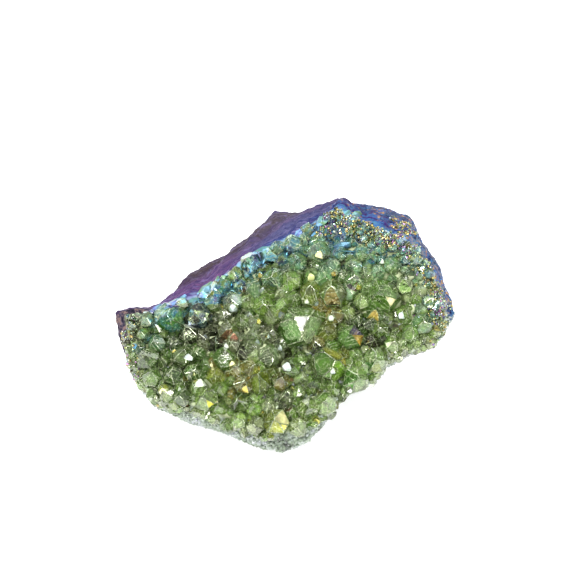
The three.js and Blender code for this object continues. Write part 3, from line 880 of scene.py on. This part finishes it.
def rock_mesh(settings, material):
    """The rock's solid, evened out into small faces and given its relief."""
    merged = bmesh.new()
    merged.from_mesh(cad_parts["matrix_rock"].data)
    bmesh.ops.remove_doubles(merged, verts=merged.verts, dist=TINY)
    carrier = linked("rock base", mesh_of(merged, "rock base"))
    remesh = carrier.modifiers.new("even", "REMESH")
    remesh.mode = "VOXEL"
    remesh.voxel_size = settings.face_size
    soften = carrier.modifiers.new("soften", "SMOOTH")
    soften.factor = 0.5
    soften.iterations = settings.soften_steps
    values = {label: getattr(settings, label.lower().replace(" ", "_")) for label in RELIEF_SIZES}
    mesh = grown(carrier, relief_tree(), {**values, "Material": material}, "aura_rock")
    dropped(carrier)
    flat = np.empty(len(mesh.vertices) * 3)
    mesh.vertices.foreach_get("co", flat)
    flat[2::3] = np.maximum(flat[2::3], 0)
    mesh.vertices.foreach_set("co", flat)
    mesh.update()
    return mesh


def rock_zones(mesh):
    """How much each point of the rock belongs to its bed, its right side, its left corner and its front."""
    x, y, z, depth, normal = places(mesh)
    ridge, inside = below_ridge(x, y), inside_rim(x, y)
    front = fade(-1, 4, ridge) * fade(2, -6, y - 0.45 * x) * fade(35, 31, x + 0.5 * y)
    right = fade(5, 21, x) * (1 - front)
    left = fade(-30, -34, x) * fade(7, 3, y)
    store(mesh, "zones", np.stack([front, right, left, fade(8, 2, z)], axis=1), "FLOAT_COLOR")
    store(mesh, "bed", fade(-0.2, 0.8, inside) * fade(3, 2, depth) * fade(0.3, 0.6, normal[2]))
    store(mesh, "out", lerp(0.45, np.clip(-inside / ROCK_BAND, 0, 1), fade(14, 7, depth)))
    store(mesh, "along", (x - FILL_BOX[0][0]) / (FILL_BOX[0][1] - FILL_BOX[0][0]))


def rock_material(settings):
    """Rock under an aura film: violet on the back, steel blue to the right, silver grey in front."""
    material, graph = new_material("aura_rock")
    at = graph.node("TexCoord", out="Object")
    zones = graph.attribute("zones", "Color")
    front, right, left = (graph.node("SeparateColor", {0: zones}, i) for i in range(3))
    low = graph.attribute("zones", "Alpha")
    bed, out, along = (graph.attribute(name) for name in ("bed", "out", "along"))
    streak = graph.noise(graph.stretched(at, BED_NORMAL, 7), 0.011, 4, 0.6)
    thread = graph.noise(graph.stretched(at, BED_NORMAL, 9), 0.006, 3, 0.65)
    smear = graph.noise(graph.stretched(at, BED_NORMAL, 2.5), 0.0028, 4, 0.65)
    patch = graph.noise(at, 0.009, 3)
    grain = graph.noise(at, 0.0012, 3, 0.7)
    spot = graph.noise(at, 0.0025)
    place = out + (streak - 0.5) * 0.8 + (thread - 0.5) * 0.8
    lower_back = graph.ramp(place, [
        (0, 112, 124, 156), (0.06, 88, 82, 126), (0.16, 56, 46, 88), (0.28, 94, 66, 100), (0.4, 62, 48, 84),
        (0.55, 84, 62, 94), (0.72, 56, 44, 60), (0.9, 62, 52, 56),
    ])
    upper_back = graph.ramp(place, [
        (0, 104, 134, 156), (0.06, 62, 76, 118), (0.16, 38, 42, 86), (0.28, 72, 72, 104), (0.4, 54, 54, 86),
        (0.55, 80, 70, 98), (0.72, 62, 56, 76), (0.9, 68, 60, 68),
    ])
    right_back = graph.ramp(place, [
        (0, 80, 126, 148), (0.1, 54, 94, 142), (0.2, 38, 32, 84), (0.3, 60, 34, 84), (0.4, 48, 88, 134),
        (0.52, 62, 40, 76), (0.64, 50, 80, 112), (0.8, 64, 72, 88),
    ])
    end_colour = graph.ramp(grain, [(0.36, 48, 58, 60), (0.5, 95, 115, 121), (0.62, 140, 132, 126)])
    fine_colour = graph.ramp(grain, [
        (0.37, 20, 20, 42), (0.44, 42, 42, 90), (0.5, 70, 124, 162), (0.55, 74, 46, 92), (0.61, 170, 138, 86),
    ])
    fine_share = spot.between(0.45, 0.57) * 0.8 + along.between(0.78, 0.88) * 0.25
    right_colour = graph.over(
        right_back, (along.between(0.87, 0.93) * (streak + 0.3), end_colour), (fine_share, fine_colour)
    )
    front_stops = [(0.38, 48, 54, 48), (0.48, 108, 118, 104), (0.6, 152, 162, 152)]
    front_colour = graph.ramp(grain * 0.6 + spot * 0.4, front_stops)
    left_colour = graph.ramp(grain, [(0.38, 20, 18, 26), (0.5, 46, 42, 56), (0.6, 104, 86, 82)])
    bed_stops = [(0.38, 60, 58, 42), (0.46, 126, 134, 96), (0.56, 196, 206, 164)]
    bed_colour = graph.ramp(spot * 0.6 + patch * 0.4, bed_stops)
    right = (right + (streak - 0.5) * 1.2 + (patch - 0.5) * 1.6).between(0.38, 0.62)
    speck = smear.between(0.52, 0.62) * (out + (patch - 0.5) * 2).between(0.4, 0.9)
    colour = graph.over(
        lower_back, ((along + (patch - 0.5) * 0.4).between(0.25, 0.5), upper_back), (right, right_colour),
        ((1 - thread.between(0.36, 0.48)) * 0.45, srgb(40, 34, 66)),
        (thread.between(0.56, 0.68) * 0.3, srgb(128, 118, 168)),
        (speck * 0.7, srgb(58, 48, 46)), (left, left_colour), (front, front_colour),
        (low * front * 0.6, srgb(112, 114, 120)), (bed, bed_colour),
    )
    height = (grain + graph.noise(at, 0.0004) * 0.5) * (1 - bed)
    surface = graph.node("BsdfPrincipled", {
        "Base Color": colour, "Metallic": (0.45 + right * 0.2 - front * 0.3) * (1 - bed),
        "Roughness": 0.36 + grain * 0.25, "Specular IOR Level": 0.1, "Specular Tint": settings.sheen_colour,
        "Normal": graph.node("Bump", {"Strength": 0.5, "Distance": 0.00025, "Height": height}),
    })
    graph.node("OutputMaterial", {"Surface": surface})
    return material


# Fine druse


def point_mesh():
    """A crystal of unit radius with few faces: six sides and six end faces that meet in a point."""
    body = bmesh.new()
    bmesh.ops.create_cone(body, segments=6, radius1=1, radius2=1, depth=0.7, cap_ends=True)
    bmesh.ops.translate(body, verts=body.verts, vec=(0, 0, 0.1))
    top = max(body.faces, key=lambda f: f.calc_center_median().z)
    bmesh.ops.poke(body, faces=[top])["verts"][0].co.z += 1.2
    return mesh_of(body, "fine point")


def druse_tree():
    """Fine crystals scattered over a carrier where its growth attribute lets them grow."""
    sizes = ["Density", "Smallest", "Largest", "Lean", "Turn"]
    kinds = {"Float": sizes, "Vector": ["Shape", "Along"], "Object": ["Point"], "Int": ["Seed"]}
    graph, inputs = new_shape_tree("Fine druse", **kinds)
    seed, lean = inputs["Seed"], inputs["Lean"]
    allowed = graph.node("GeometryNodeInputNamedAttribute", {"Name": "growth"})
    spread = {"Mesh": inputs["Geometry"], "Density": inputs["Density"] * allowed, "Seed": seed}
    points = graph.node("GeometryNodeDistributePointsOnFaces", spread, "Points")
    upright = {"Rotation": Value(graph, points.socket.node.outputs["Rotation"]), "Vector": inputs["Along"]}
    lined_up = graph.node("FunctionNodeAlignRotationToVector", upright, axis="X", pivot_axis="Z")
    either_way = {0: (-1, -1, -1), 1: (1, 1, 1), "Seed": seed}
    any_lean = graph.node("FunctionNodeRandomValue", either_way, data_type="FLOAT_VECTOR")
    most = graph.node("CombineXYZ", {0: lean, 1: lean, 2: inputs["Turn"]})
    turns = {0: lined_up, 1: graph.vector("MULTIPLY", any_lean, most)}
    rotation = graph.node("FunctionNodeRotateRotation", turns, rotation_space="LOCAL")
    radii = {2: inputs["Smallest"], 3: inputs["Largest"], "Seed": seed + 1}
    scale = graph.vector("SCALE", inputs["Shape"], graph.node("FunctionNodeRandomValue", radii, 1))
    point = graph.node("GeometryNodeObjectInfo", {"Object": inputs["Point"]}, "Geometry")
    copies = {"Points": points, "Instance": point, "Rotation": rotation, "Scale": scale}
    made = graph.node("GeometryNodeInstanceOnPoints", copies)
    tone = graph.node("FunctionNodeRandomValue", {"Seed": seed + 2}, 1)
    tone = {"Geometry": made, "Name": "tone", "Value": tone}
    toned = graph.node("GeometryNodeStoreNamedAttribute", tone, domain="INSTANCE")
    return close_shape_tree(graph, toned, inputs)


def druse_material(name, stops, metallic, roughness, spread, coat=0.3):
    """Fine crystals whose colours follow each one's own tone and drift over the specimen."""
    material, graph = new_material(name)
    at = graph.node("TexCoord", out="Object")
    drift = graph.noise(at, 0.006).between(0.3, 0.7)
    colour = graph.ramp(graph.attribute("tone") * (1 - spread) + drift * spread, stops)
    finish = {"Base Color": colour, "Metallic": metallic, "Roughness": roughness, "Coat Weight": coat}
    graph.node("OutputMaterial", {"Surface": graph.node("BsdfPrincipled", finish)})
    return material


def glitter_growth(mesh):
    """Where the metallic fine druse grows: beyond the peak, along the right rim and at the left corner."""
    x, y, z, depth, _ = places(mesh)
    inside = inside_rim(x, y)
    patchy = fade(-0.3, 0.5, np.sin(x / 1.1 + 2 * np.sin(y / 2.3)) * np.sin(y / 0.9 + z / 1.7))
    beyond_peak = fade(5, 8, x) * fade(30, 25, x) * fade(15, 17, y)
    beyond_peak = beyond_peak * fade(-0.8, 0.2, inside) * fade(5.5, 3.5, inside) * fade(6, 3, depth)
    right_rim = fade(24, 28, x) * fade(-2, 1, y) * fade(-1.5, 0, inside) * fade(4.5, 2.5, inside)
    pocket = fade(4.5, 2.5, np.hypot(x - 28, (y - 23.5) * 0.8)) * fade(6, 3, depth)
    right_end = fade(33, 36, x) * fade(8, 5, y) * fade(5, 2, depth)
    corner = 0.4 * fade(-34, -37, x) * fade(8, 4, depth) * fade(1, -1, y)
    sparse = (0.5 * right_rim + pocket + 0.6 * right_end + corner) * patchy
    return np.clip(beyond_peak * (0.16 + 0.84 * patchy) + sparse, 0, 1) * fade(9, 7, depth)


def ridge_growth(mesh):
    """Where the broad blue flakes lie: along the long ridge and in patches below the peak."""
    x, y, _, depth, normal = places(mesh)
    ridge = below_ridge(x, y)
    wave = np.sin(x / 2.1 + 1.5 * np.sin(y / 3.1)) * np.sin(y / 1.7 + 0.8)
    long_ridge = fade(-0.3, 0.3, ridge) * fade(4.5, 2.5, ridge + 1.5 * wave)
    patches = fade(10.5, 12.5, y) * fade(19, 17, y) * fade(9, 12, x) * fade(0.1, 0.4, wave)
    grows = np.clip(long_ridge + patches, 0, 1) * fade(22, 19, x)
    return grows * fade(0.1, 0.5, normal[2]) * fade(3, 1.5, depth) * fade(-34, -31, x)


def front_growth(mesh):
    """Where pale grains cover the broken front wall."""
    x, y, z, depth, normal = places(mesh)
    facing = fade(0.1, -0.4, normal[1] + 0.3 * np.abs(normal[0]))
    return facing * fade(2, -5, y - 0.1 * x) * fade(0, 0.8, depth) * fade(1.2, 2.4, z)


def druse_piece(name, carrier_mesh, growth, settings, kind, seed, material, slot, share=1):
    """Fine crystals of a kind, grown on a carrier. Only flakes have a lean, turn and shape of their own."""
    carrier_copy = carrier_mesh.copy()
    store(carrier_copy, "growth", growth(carrier_copy))
    carrier = linked(name + " carrier", carrier_copy)
    point = linked("fine point", point_mesh())
    values = {
        "Point": point,
        "Density": getattr(settings, kind + "_density") * share,
        "Smallest": getattr(settings, kind + "_smallest"),
        "Largest": getattr(settings, kind + "_largest"),
        "Shape": tuple(getattr(settings, kind + "_shape", (1, 1, 1))),
        "Lean": getattr(settings, kind + "_lean", settings.lean),
        "Turn": getattr(settings, kind + "_turn", math.pi),
        "Along": tuple(RIDGE_ALONG),
        "Seed": seed,
        "Material": material,
    }
    mesh = grown(carrier, druse_tree(), values, name)
    dropped(carrier, point)
    finished(name, mesh)


# Settings


def number(name, default, description, **options):
    return bpy.props.FloatProperty(name=name, description=description, default=default, **options)


def whole(name, default, description):
    return bpy.props.IntProperty(name=name, description=description, default=default)


def length(name, default, description):
    return number(name, default, description, min=0, precision=5, subtype="DISTANCE", unit="LENGTH")


def shares(name, default, description, **options):
    return bpy.props.FloatVectorProperty(name=name, description=description, default=default, **options)


def colour(name, default, description):
    return shares(name, default, description, min=0, max=1, subtype="COLOR")


class DruseRockSettings(bpy.types.PropertyGroup):
    """Sizes of the rock's relief."""

    face_size: length("Face size", 0.00046, "Size of the rock's faces before its relief")
    soften_steps: whole("Soften", 6, "Smoothing steps before the relief")
    streak_depth: length("Streak depth", 0.0004, "Height of the streaks along the layers")
    streak_pitch: length("Streak pitch", 0.0016, "Distance from one streak to the next")
    grain_depth: length("Grain depth", 0.00032, "Height of the grains")
    grain_size: length("Grain size", 0.0008, "Size of the grains")
    lump_depth: length("Lump depth", 0.0005, "Height of the lumps")
    lump_size: length("Lump size", 0.002, "Size of the lumps")
    sheen_colour: colour("Sheen colour", (0.5, 0.46, 0.7), "Colour of the rock's sheen at a glancing angle")


class DruseCrystalSettings(bpy.types.PropertyGroup):
    """Sizes and finish of the quartz crystals."""

    # The bevelled edges carry a painted highlight.
    bevel: length("Edge width", 0.00009, "Width of the worn edge between two facets")
    bevel_from: length("Bevel from", 0.0011, "Crystals of this radius and up have worn edges")
    seed: whole("Seed", 31, "Seed of the infill crystals and the facets' finish")
    transmission: number("Clearness", 0.94, "Share of light that passes")
    film_thickness: number("Film", 95, "Thickness of the aura film in nanometres")
    film_ior: number("Film IOR", 1.63, "Refractive index of the aura film")
    depth_colour: colour("Depth colour", (0.56, 0.76, 0.3), "Colour that light takes on inside the quartz")
    depth_density: number("Depth density", 225, "How fast it does so")
    inner_size: length("Inner size", 0.0027, "Size of the facets and cracks seen inside the quartz")
    # This colour also lays the painted shade on the facets' rims and by the inner cells' edges.
    crack_and_shade_colour: colour("Crack colour", srgb(62, 74, 38), "Colour beside the cracks inside the quartz")
    # This colour also paints the pale specks, a painted sparkle.
    line_colour: colour("Line colour", srgb(206, 214, 172), "Colour of the fine cracks and growth lines")
    cloud_colour: colour("Cloud colour", srgb(176, 186, 150), "Colour of the cloudy wisps in the quartz")


class DruseFineSettings(bpy.types.PropertyGroup):
    """Sizes of the fine druse."""

    lean: number("Lean", 0.6, "How far the fine crystals lean, in radians")
    glitter_density: number("Glitter density", 6e6, "Fine crystals per square metre")
    glitter_smallest: length("Glitter smallest", 0.00013, "Radius of the smallest glittering crystals")
    glitter_largest: length("Glitter largest", 0.00036, "Radius of the largest glittering crystals")
    flake_density: number("Flake density", 1.8e5, "Flakes per square metre")
    flake_lean: number("Flake lean", 0.32, "How far the flakes lean, in radians")
    flake_turn: number("Flake turn", 0.6, "How far they turn off the ridge, in radians")
    flake_smallest: length("Flake smallest", 0.001, "Radius of the smallest flakes of the ridge")
    flake_largest: length("Flake largest", 0.002, "Radius of the largest flakes of the ridge")
    flake_shape: shares("Flake shape", (1.5, 0.7, 0.16), "Length, width and height of a flake for its radius")
    grain_density: number("Grain density", 3e6, "Grains per square metre")
    grain_smallest: length("Grain smallest", 0.0002, "Radius of the smallest grains of the front wall")
    grain_largest: length("Grain largest", 0.0005, "Radius of the largest grains of the front wall")


class DruseStageSettings(bpy.types.PropertyGroup):
    """Camera, floor and lights."""

    camera_elevation: number("Camera elevation", math.radians(50), "Angle above the horizon", subtype="ANGLE")
    camera_distance: length("Camera distance", 0.376, "Distance from the point that it looks at")
    floor_colour: colour("Floor colour", (0.9, 0.9, 0.9), "Colour of the floor")
    floor_glow: number("Floor glow", 0.32, "Strength of the light that keeps the floor pale")
    sky: number("Sky", 0.84, "Strength of the even light from all around")
    lamps: number("Lamps", 0.64, "Strength of the softboxes")


# Operators


class DRUSE_OT_crystals(bpy.types.Operator):
    """Build the quartz crystals and the skin that joins them"""

    bl_idname = "druse.crystals"
    bl_label = "Crystals"

    def execute(self, context):
        settings = context.scene.druse_crystals
        main = main_crystals()
        infill = infill_crystals(main, settings.seed)
        shape_draw = numbers(SHAPE_SEED)
        paint_draw = random.Random(settings.seed + 1)
        bodies = [skin_body()]

        def add(crystal, number, rank, flashes, *shape, **more):
            bodies.append(crystal_body(crystal, number, shape_draw, *shape, **more))
            paint_crystal(bodies[-1], crystal, number, rank, flashes, paint_draw)

        for number, crystal in enumerate(main + infill):
            radius = crystal[2]
            # Crystals this large get bevelled edges that carry a painted highlight.
            highlit = radius * MM >= settings.bevel_from
            bevel = settings.bevel / MM * min(WIDEST_BEVEL, radius / 2) if highlit else 0
            rank = (number >= len(LEADERS)) + (number >= len(main))
            sink, uneven = (INFILL_SINK, UNEVEN) if rank == 2 else (0, 0)
            add(crystal, number, rank, FLASHES.get(number, {}), bevel, sink, uneven=uneven)
        trees = [BVHTree.FromBMesh(body) for body in bodies[1:]]
        bevel = settings.bevel / MM / 2
        # Glints: small crystals whose front facet is a painted highlight.
        for x, y, radius, turn, finish in GLINTS:
            sink = 1 - GLINT_RISE - height_at(x, y, trees) / radius
            glint = (x, y, radius, turn, *GLINT_LEAN)
            add(glint, -1, 2, {GLINT_FACET: finish}, bevel, sink, uneven=UNEVEN)
        rock = bmesh.new()
        rock.from_mesh(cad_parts["matrix_rock"].data)
        for foot, axis, radius, turn in wall_crystals(rock, paint_draw):
            add((foot.x, foot.y, radius, turn), -1, 2, {}, bevel, WALL_SINK, foot, axis, UNEVEN)
        rock.free()
        mesh = joined_crystals(bodies, quartz_material(settings))
        if not mesh.polygons:
            raise RuntimeError("the crystals didn't join")
        finished("aura_crystals", mesh, "crystal_crust")
        return {"FINISHED"}


class DRUSE_OT_rock(bpy.types.Operator):
    """Dress the rock that the crystals grew on"""

    bl_idname = "druse.rock"
    bl_label = "Rock"

    def execute(self, context):
        settings = context.scene.druse_rock
        mesh = rock_mesh(settings, rock_material(settings))
        rock_zones(mesh)
        finished("aura_rock", mesh, "matrix_rock")
        return {"FINISHED"}


class DRUSE_OT_fine_druse(bpy.types.Operator):
    """Scatter the fine metallic druse and the grains of the front wall"""

    bl_idname = "druse.fine_druse"
    bl_label = "Fine druse"

    def execute(self, context):
        settings = context.scene.druse_fine
        rock, crystals = (bpy.data.objects[name].data for name in ("aura_rock", "aura_crystals"))
        glitter = (druse_material("aura_glitter", GLITTER_STOPS, 0.85, 0.27, 0.35), "quartz")
        flakes = (druse_material("aura_flakes", FLAKE_STOPS, 0.7, 0.3, 0.35, coat=0), "quartz")
        grains = (druse_material("front_grains", GRAIN_STOPS, 0.15, 0.3, 0.6), "matrix")
        druse_piece("rock_glitter", rock, glitter_growth, settings, "glitter", 5, *glitter)
        druse_piece("crystal_glitter", crystals, glitter_growth, settings, "glitter", 6, *glitter)
        druse_piece("rock_flakes", rock, ridge_growth, settings, "flake", 8, *flakes)
        druse_piece("crystal_flakes", crystals, ridge_growth, settings, "flake", 9, *flakes, share=0.25)
        druse_piece("front_grains", rock, front_growth, settings, "grain", 7, *grains)
        return {"FINISHED"}


SOFTBOXES = [  # name, azimuth and elevation in degrees, distance, width, height, watts
    ("key", -50, 48, 0.55, 0.2, 0.2, 3.2),
    ("left strip", -95, 25, 0.55, 0.08, 0.3, 2.2),
    ("right strip", 70, 30, 0.55, 0.08, 0.3, 2.4),
    ("front strip", 12, 14, 0.6, 0.3, 0.07, 1.6),
    ("rear left", -150, 35, 0.6, 0.5, 0.32, 2.6),
    ("rear right", 150, 40, 0.6, 0.5, 0.32, 2.6),
    ("over", 20, 84, 0.55, 0.16, 0.16, 1.8),
]
LOOK_AT = Vector((0.0007, 0.0016, 0.025))
FLOOR_REACH = 3.0


def placed_around(name, data, azimuth, elevation, distance):
    """A lamp or camera that faces the point looked at. Azimuth 0 is in front and 90 to the right."""
    obj = linked(name, data)
    a, e = math.radians(azimuth), math.radians(elevation)
    way = Vector((math.sin(a) * math.cos(e), -math.cos(a) * math.cos(e), math.sin(e)))
    obj.location = LOOK_AT + distance * way
    obj.rotation_euler = (LOOK_AT - obj.location).to_track_quat("-Z", "Y").to_euler()
    return obj


class DRUSE_OT_stage(bpy.types.Operator):
    """Set up the floor, the softboxes and the camera"""

    bl_idname = "druse.stage"
    bl_label = "Stage"

    def execute(self, context):
        settings = context.scene.druse_stage
        scene = context.scene
        camera = bpy.data.cameras.new("camera")
        camera.lens = 100
        camera.sensor_width = 36
        camera.clip_start = 0.01
        elevation = math.degrees(settings.camera_elevation)
        scene.camera = placed_around("camera", camera, 0, elevation, settings.camera_distance)

        floor_mesh = bpy.data.meshes.new("floor")
        corners = [(x * FLOOR_REACH, y * FLOOR_REACH, 0) for x, y in ((-1, -1), (1, -1), (1, 1), (-1, 1))]
        floor_mesh.from_pydata(corners, [], [(0, 1, 2, 3)])
        material, graph = new_material("floor")
        surface = graph.node("BsdfPrincipled", {
            "Base Color": settings.floor_colour, "Roughness": 0.9, "Specular IOR Level": 0.1,
            "Emission Color": (1, 1, 1), "Emission Strength": settings.floor_glow,
        })
        graph.node("OutputMaterial", {"Surface": surface})
        floor_mesh.materials.append(material)
        linked("floor", floor_mesh)

        for name, azimuth, elevation, distance, width, height, watts in SOFTBOXES:
            light = bpy.data.lights.new(name, "AREA")
            light.shape = "RECTANGLE"
            light.size, light.size_y = width, height
            light.energy = watts * settings.lamps
            placed_around(name, light, azimuth, elevation, distance).visible_camera = False

        world = bpy.data.worlds.new("studio")
        world.use_nodes = True
        background = world.node_tree.nodes["Background"]
        background.inputs["Color"].default_value = (1, 1, 1, 1)
        background.inputs["Strength"].default_value = settings.sky
        scene.world = world
        scene.view_settings.view_transform = "Standard"
        return {"FINISHED"}


class DRUSE_PT_panel(bpy.types.Panel):
    """Lists the druse's operators"""

    bl_idname = "DRUSE_PT_panel"
    bl_label = "Aura amethyst druse"
    bl_space_type = "VIEW_3D"
    bl_region_type = "UI"
    bl_category = "Druse"

    def draw(self, context):
        for operator in OPERATORS:
            self.layout.operator(operator.bl_idname)


SETTINGS = {
    "druse_rock": DruseRockSettings,
    "druse_crystals": DruseCrystalSettings,
    "druse_fine": DruseFineSettings,
    "druse_stage": DruseStageSettings,
}
OPERATORS = (DRUSE_OT_rock, DRUSE_OT_crystals, DRUSE_OT_fine_druse, DRUSE_OT_stage)


def register():
    for name, group in SETTINGS.items():
        bpy.utils.register_class(group)
        setattr(bpy.types.Scene, name, bpy.props.PointerProperty(type=group))
    for cls in (*OPERATORS, DRUSE_PT_panel):
        bpy.utils.register_class(cls)


def unregister():
    for cls in (DRUSE_PT_panel, *reversed(OPERATORS)):
        bpy.utils.unregister_class(cls)
    for name, group in reversed(SETTINGS.items()):
        delattr(bpy.types.Scene, name)
        bpy.utils.unregister_class(group)


def main():
    register()
    for operator in OPERATORS:
        _, name = operator.bl_idname.split(".")
        getattr(bpy.ops.druse, name)()
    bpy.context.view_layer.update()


if __name__ == "__main__":
    main()
